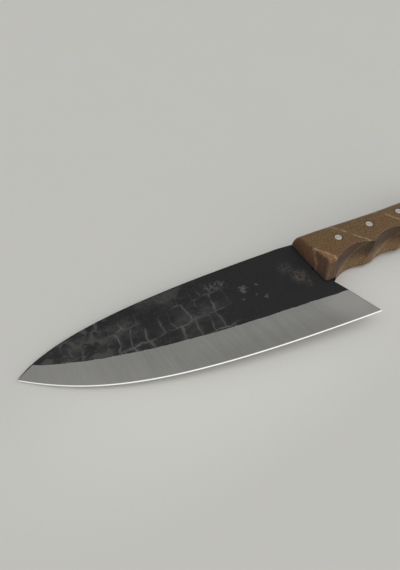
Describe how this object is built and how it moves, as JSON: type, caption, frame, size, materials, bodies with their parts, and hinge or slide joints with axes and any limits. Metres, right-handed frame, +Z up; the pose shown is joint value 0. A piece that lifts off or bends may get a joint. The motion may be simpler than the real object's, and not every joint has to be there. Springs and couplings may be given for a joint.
{
  "type": "meat cleaver knife",
  "caption": "Hand-forged, deep-bladed butcher's knife: dark forge-scale cheeks, a bright ground bevel and a slotted, finger-grooved wooden handle held by two-piece rivets.",
  "frame": {"origin": "middle of the floor under the knife's box, with the knife lying on its right side as it comes to rest", "axes": "+X towards the butt of the handle, +Y towards the spine of the blade, +Z up, out of the left cheek; the knife's own long axis is pitched 3.11 degrees about Y, because it rests on the front arris of the handle and on the point of the blade"},
  "size_m": [0.2932, 0.0668, 0.0263],
  "materials": {
    "forged_steel": "black forge scale on the cheeks, satin ground bevel, bright cutting bevel",
    "oiled_hardwood": "oiled, open-pored, satin",
    "rivet_ring": "filed flush, satin",
    "rivet_core": "filed flush, satin"
  },
  "bodies": {
    "root": {"blade": "forged_steel", "handle": "oiled_hardwood", "front_rivet_sleeve": "rivet_ring", "middle_rivet_sleeve": "rivet_ring", "rear_rivet_sleeve": "rivet_ring", "front_rivet_post": "rivet_core", "middle_rivet_post": "rivet_core", "rear_rivet_post": "rivet_core"}
  },
  "joints": []
}
